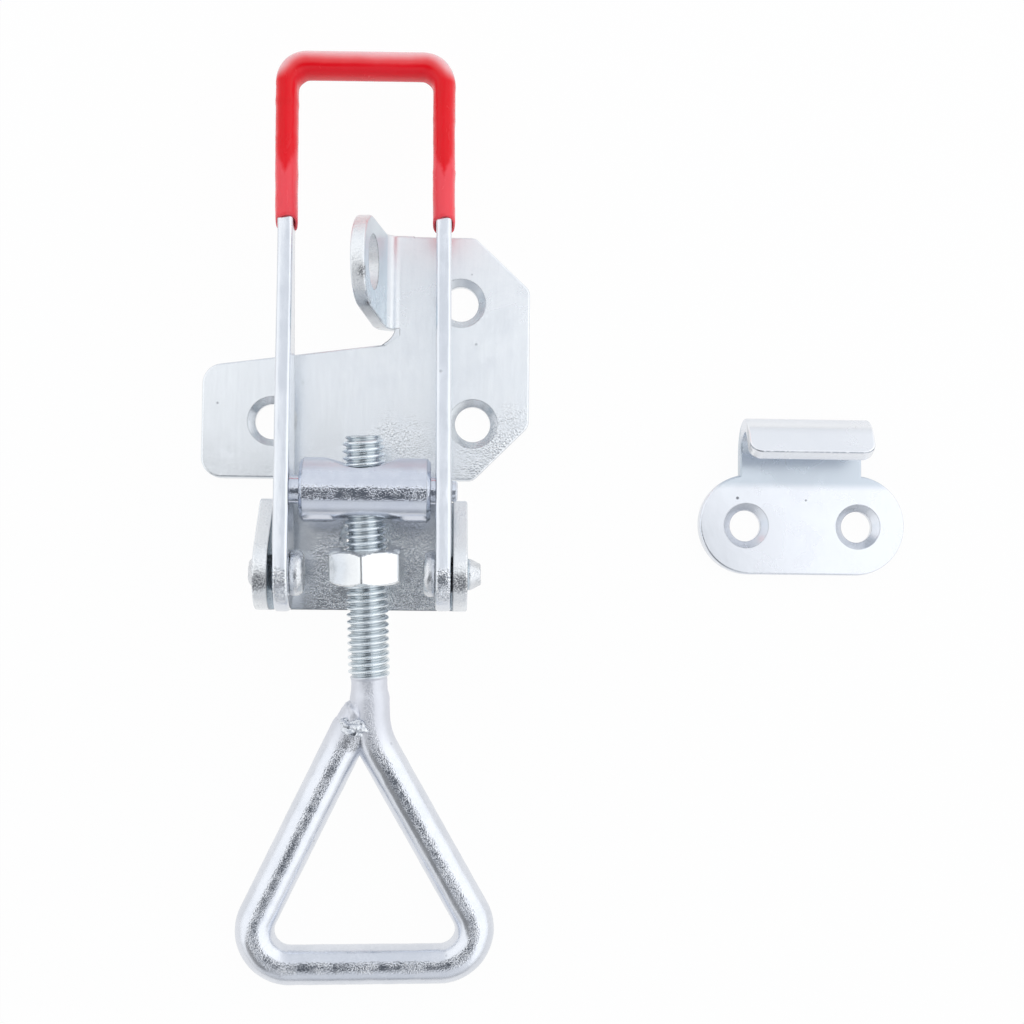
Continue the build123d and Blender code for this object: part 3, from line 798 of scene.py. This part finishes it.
# ------------------------------------------------------------------ grip sleeve
ARM_Z, ARM_DEPTH = 10.6, 4.5                    # middle and depth of the strip inside
WALL, SLEEVE_FRONT = 0.5, 45.0
SLANT = 1.3                                     # how far the open ends lean back from top to bottom
TOP_CROWN, FOOT_CROWN, TOP_FALL = 0.22, 0.12, 0.16      # bulge of top and foot, fall of the top outwards
GRIP_FULLER, CORNER_THICKER = 0.24, 0.10
PINCHES = (                                     # (leg, y, width along y, height)
    (-1, 61.6, 0.45, 0.16),
    (1, 59.4, 0.35, 0.10),
    (1, 51.8, 0.3, 0.16),
    (1, 51.1, 0.25, 0.12),
    (-1, 56.5, 0.3, 0.08),
)
INSIDE = 0.03 - WALL                            # the skin's inner side, just clear of the strip
MOUTH = (                                       # an open end from inside out, (growth, slide along y)
    (INSIDE, 4.0),
    (INSIDE, 1.5),
    (INSIDE, 0.4),
    (INSIDE + 0.1, 0.08),
    (-WALL / 2, -0.04),
    (-0.06, 0.05),
)


def flat_oval(count=44, power=2.8):
    """Unit outline between an oval and a square, (outwards, up)."""
    points = []
    for i in range(count):
        cos, sin = math.cos(TAU * i / count), math.sin(TAU * i / count)
        reach = (abs(cos) ** power + abs(sin) ** power) ** (-1 / power)
        points.append((cos * reach, sin * reach))
    return points


def sleeve():
    """Soft skin drawn over the U: crowned top, thicker inner corners, oblique open ends, small pinches."""
    line = handle_line(SLEEVE_FRONT, 0.45)
    half_width, half_height = STRIP / 2 + WALL, ARM_DEPTH / 2 + WALL
    outline = flat_oval()
    inner_corners = [Vector((side * MID_X, MID_END)) - Vector((side, 1)).normalized() * MID_BEND * 0.4
                     for side in (-1, 1)]

    def ring(k, grow, slide):
        """Section at a point of the line, wider by grow and moved by slide along Y."""
        at, out = line[k], outwards(line, k)
        corner = max(math.exp(-((at - middle).length / 1.9) ** 2) for middle in inner_corners)
        fuller = GRIP_FULLER * unit((at.y - 63.5) / 3)
        in_leg = abs(at.x) > MID_X - 0.1
        open_end = math.exp(-((at.y - SLEEVE_FRONT) / 3.0) ** 2) if in_leg else 0
        slanted = max(0, 1 - (at.y - SLEEVE_FRONT) / 6.0) if in_leg else 0
        points = []
        for u, w in outline:
            crown = (TOP_CROWN if w > 0 else FOOT_CROWN) * (1 - u * u)
            z = ARM_Z + w * (half_height + grow + crown)
            if w > 0:
                z -= TOP_FALL * max(0, u) * (1 - corner)
            flat = at + out * (u * (half_width + grow + fuller) + CORNER_THICKER * corner * min(0, u))
            y = flat.y + slide + SLANT * slanted * ((z - ARM_Z) / (2 * half_height) - 0.5)
            y += 0.10 * slanted * math.sin(flat.x * 2.3)
            for side, place, width, height in PINCHES:
                if at.x * side > MID_X - 0.5:
                    pinch = height * math.exp(-((at.y - place) / width) ** 2)
                    flat += out * pinch * 0.4 * u
                    z += pinch * max(0, w)
            spot = Vector((*flat, z))
            wave = 0.07 * noise.noise(spot * 0.35) + 0.03 * noise.noise(spot * 1.1)
            flat += out * wave * (1 if u > 0 else -1)
            points.append(on_handle(flat.x, y, z + wave * max(0, w) * (1 - open_end)))
        return points

    last = len(line) - 1
    rings = [ring(0, grow, slide) for grow, slide in MOUTH]
    rings += [ring(k, 0, 0) for k in range(1, last)]
    rings += [ring(last, grow, slide) for grow, slide in reversed(MOUTH)]
    stand_in(skin("grip_skin", rings), "vinyl", "grip_sleeve")


sleeve()

# ------------------------------------------------------------------ handle strip
LEG_R, STRIP_EDGE, CROWN = 5.3, 0.45, 0.05      # round ends at the pivots, worn edges, rise of the crown
TOP = (                                         # (y, height, slope), as FOOT
    (-5.0, 17.3, 0.0),
    (-4.3, 17.26, -0.085),
    (8.0, 16.2, -0.085),
    (24.0, 14.85, -0.11),
    (44.0, 12.85, 0.0),
)
FOOT = ((-5.0, 6.7, 0.0), (8.0, 6.72, 0.0), (24.0, 7.5, 0.052), (44.0, 8.35, 0.0))


def height_at(curve, y):
    """Height at y on a smooth curve through (y, height, slope) points."""
    if y >= curve[-1][0]:
        return curve[-1][1]
    for (y0, h0, m0), (y1, h1, m1) in zip(curve, curve[1:]):
        if y < y1:
            span = y1 - y0
            f = max(0.0, (y - y0) / span)
            return ((2 * f ** 3 - 3 * f ** 2 + 1) * h0 + (f ** 3 - 2 * f ** 2 + f) * span * m0
                    + (3 * f ** 2 - 2 * f ** 3) * h1 + (f ** 3 - f ** 2) * span * m1)


def strip_outline():
    """Section of the strip: (outwards, height from -1 to 1, how far the worn edge draws it in)."""
    half, flat = STRIP / 2, STRIP / 2 - STRIP_EDGE
    worn = CROWN * (flat / half) ** 2
    edge = [math.radians(15 * i) for i in range(7)]
    rounding = [(flat + STRIP_EDGE * math.cos(a), worn + STRIP_EDGE * (1 - math.sin(a))) for a in edge]
    crown = [(x, CROWN * (x / half) ** 2) for x in (flat - flat * i / 4 for i in range(1, 8))]
    face = rounding + crown + [(-x, drop) for x, drop in reversed(rounding)]
    side_drop = worn + STRIP_EDGE
    outline = [(x, 1, drop) for x, drop in face]
    outline += [(-half, level, side_drop) for level in (0.5, 0.0, -0.5)]
    outline += [(-x, -1, drop) for x, drop in face]
    return outline + [(half, level, side_drop) for level in (-0.5, 0.0, 0.5)]


def handle():
    """One strip bent on edge into a U, its top a little crowned, with round ends at the pivots."""
    outline = strip_outline()
    line = handle_line(PIVOT_Y, 0.6)

    def ring(k, lean=0.0):
        """Section at a point of the line. At the round ends it leans back round the pivot."""
        at, out = line[k], outwards(line, k)
        points = []
        for x, level, drop in outline:
            if lean:
                radius = LEG_R - drop
                y = PIVOT_Y - radius * math.sin(lean)
                top, foot = PIVOT_Z + radius * math.cos(lean), PIVOT_Z - radius * math.cos(lean)
            else:
                y = at.y + out.y * x
                top, foot = height_at(TOP, at.y) - drop, height_at(FOOT, at.y) + drop
            spot = Vector((at.x + out.x * x, y, foot + (top - foot) * (level + 1) / 2))
            dent = 0.03 * noise.noise(spot * 0.5) + 0.015 * noise.noise(spot * 1.7) if level == 1 else 0
            points.append(on_handle(spot.x, y, spot.z + dent))
        return points

    last = len(line) - 1
    round_end = [math.radians(90 - 6 * i) for i in range(15)]
    rings = [ring(0, lean) for lean in round_end]
    rings += [ring(k) for k in range(len(line))]
    rings += [ring(last, lean) for lean in reversed(round_end)]
    stand_in(skin("handle_strip", rings, ends="open"), "handle", "handle_frame")


handle()

# ------------------------------------------------------------------ crease at the padlock ear's foot
CREASE_EDGE = ((2.2, 28.66), (3.0, 29.2), (3.65, 29.95), (3.95, 30.6), (4.1, 31.15))    # the side that shows
CREASE_BACK = ((5.2, 31.3), (5.2, 29.6), (3.2, 28.4))


def crease():
    """Fills the small corner that the photo shows there, just under the plate's face."""
    levels = (0.05, SHEET - 0.1, SHEET - 0.015)
    obj = skin("ear_crease", [[(x, y, z) for x, y in CREASE_EDGE + CREASE_BACK] for z in levels])
    dress(obj, "base", smooth=False)
    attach(obj, body_of["base_plate"])


crease()

# ------------------------------------------------------------------ CAD nodes that stay
for node, material in (("base_plate", "base"), ("keeper_plate", "keeper"), ("barrel", "barrel")):
    dress(frame["nodes"][node], material, smooth=False)

# ------------------------------------------------------------------ floor and light
TENT = {"left": 1.17, "right": 1.30, "back": 0.88, "front": 0.78}    # how bright it is that way, 1 is white
SHADE_TOWARD, SHADE_LEVEL = (-0.48, -0.64, 0.60), 0.25      # a darker place in the tent
SHADE_INNER, SHADE_OUTER = math.radians(9), math.radians(23)
FLOOR_SHOWN = 0.96                              # share of plain white that camera and gloss see on the floor
FLOOR_AT = (0.02, 0, -0.00006)                  # metres, just under the mounting face
CARD = ((-145, -235), (112, 28))                # mm, two corners as seen from above
CARD_Z, CARD_TONE = 262.0, 0.13
CARD_SOFT = ((35, 35), (60, 22))                # mm of soft edge at the low and high x, then y


def bare_material(name):
    """A material with an empty tree."""
    material = bpy.data.materials.new(name)
    tree = Tree(material)
    tree.nodes.clear()
    return material, tree


def blend_shaders(tree, factor, a, b):
    mixed = tree.node("ShaderNodeMixShader", {0: factor, 1: a.outputs[0], 2: b.outputs[0]})
    tree.node("ShaderNodeOutputMaterial", {0: mixed.outputs[0]})


def floor():
    """Pale paper that shows as white. Metal sees it a little greyer far off, towards the tent's foot."""
    bm = bmesh.new()
    bmesh.ops.create_grid(bm, x_segments=8, y_segments=8, size=1.6)
    obj = mesh_object("studio_floor", bm)
    obj.location = FLOOR_AT
    material, tree = bare_material("pale_floor")
    away = tree.vector("LENGTH", tree.place(), output="Value")
    level = tree.larger(tree.camera_ray(), tree.span(away, 0.03, 0.35, 0.93, 0.72))
    path = tree.node("ShaderNodeLightPath").outputs
    seen = path["Is Camera Ray"]
    for ray in ("Is Glossy Ray", "Is Transmission Ray"):
        seen = tree.larger(seen, path[ray])
    paper = tree.node("ShaderNodeBsdfDiffuse", {"Color": (0.90, 0.90, 0.91)})
    white = tree.node("ShaderNodeEmission", {"Color": (1, 1, 1), "Strength": level})
    blend_shaders(tree, tree.times(seen, FLOOR_SHOWN), paper, white)
    obj.data.materials.append(material)


def studio():
    """A white tent: bright walls left and right, greyer in front and behind, and dimmer at the horizon, most
    of all in front."""
    world = bpy.data.worlds.new("studio")
    bpy.context.scene.world = world
    tree = Tree(world)
    tree.nodes.clear()
    way = tree.node("ShaderNodeTexCoord").outputs["Generated"]
    x, y, z = tree.split(way)
    across = tree.math("SQRT", tree.larger(tree.minus(1.0, tree.times(z, z)), 1e-4))
    walls = tree.span(tree.math("DIVIDE", tree.absolute(x), across), 0.3, 0.62)
    sides = tree.span(x, -0.1, 0.1, TENT["left"], TENT["right"])
    ends = tree.span(y, -0.1, 0.1, TENT["front"], TENT["back"])
    level = tree.plus(ends, tree.times(walls, tree.minus(sides, ends)))
    horizon = tree.times(tree.span(z, 0.05, 0.4, 0.38, 0.0), tree.span(y, -0.8, -0.3, 1.0, 0.25))
    level = tree.times(level, tree.minus(1.0, horizon))
    towards = tree.dot(way, tuple(Vector(SHADE_TOWARD).normalized()))
    shade = tree.span(towards, math.cos(SHADE_OUTER), math.cos(SHADE_INNER), 1.0, SHADE_LEVEL)
    seen = tree.camera_ray()
    strength = tree.larger(tree.times(tree.minus(1.0, seen), tree.times(level, shade)), seen)
    tint = tree.mix(walls, (0.95, 0.98, 1.03), (0.98, 0.99, 1.0))
    tint = tree.mix(seen, tint, (1, 1, 1))
    background = tree.node("ShaderNodeBackground", {"Color": tint, "Strength": strength})
    tree.node("ShaderNodeOutputWorld", {0: background.outputs[0]})


def overhead():
    """The camera and whoever holds it: a dark card with soft edges above, seen only in reflections."""
    (x0, y0), (x1, y1) = CARD
    corners = ((x0, y0), (x0, y1), (x1, y1), (x1, y0))
    bm = bmesh.new()
    bm.faces.new([bm.verts.new(Vector((x, y, CARD_Z)) * MM) for x, y in corners])
    obj = mesh_object("overhead_card", bm)
    material, tree = bare_material("dark_card")
    inside = 1.0
    for place, low, high, soft in zip(tree.split(tree.place()), *CARD, CARD_SOFT):
        inside = tree.times(inside, tree.span_mm(place, low, low + soft[0]))
        inside = tree.times(inside, tree.span_mm(place, high - soft[1], high, 1.0, 0.0))
    unseen = tree.minus(1.0, tree.camera_ray())
    clear = tree.node("ShaderNodeBsdfTransparent")
    cloth = tree.node("ShaderNodeEmission", {"Color": (0.86, 0.94, 1.08), "Strength": CARD_TONE})
    blend_shaders(tree, tree.times(inside, unseen), clear, cloth)
    obj.data.materials.append(material)


floor()
studio()
overhead()

# ------------------------------------------------------------------ camera
PICTURE, FOCAL = 1024, 1632.0                   # pixels
STRAIGHT_DOWN = (-72, 88)                       # pixels right of and below the picture's middle
ROLL = math.radians(0.6)
CAMERA_AT = (11.15, -8.6, 240)                  # mm
SENSOR = 36.0                                   # mm


def camera():
    """A camera that looks nearly straight down, turned by where straight down lies in its picture."""
    z_seen = -Vector((*STRAIGHT_DOWN, FOCAL)).normalized()
    x_seen = Vector((math.cos(ROLL), math.sin(ROLL), 0))
    x_seen = (x_seen - z_seen * x_seen.dot(z_seen)).normalized()
    y_seen = z_seen.cross(x_seen)
    # A row is one world axis as the camera sees it: (right, down, ahead) made into (right, up, back).
    axes = zip((x_seen, y_seen, z_seen), CAMERA_AT)
    rows = [(seen.x, -seen.y, -seen.z, place * MM) for seen, place in axes]
    cam = bpy.data.objects.new("camera", bpy.data.cameras.new("camera"))
    bpy.context.scene.collection.objects.link(cam)
    cam.data.sensor_fit = "HORIZONTAL"
    cam.data.sensor_width = SENSOR
    cam.data.lens = FOCAL / PICTURE * SENSOR
    cam.data.clip_start = 0.01
    cam.matrix_world = Matrix((*rows, (0, 0, 0, 1)))
    bpy.context.scene.camera = cam


camera()
bpy.context.scene.view_settings.view_transform = "Standard"

bpy.context.view_layer.update()
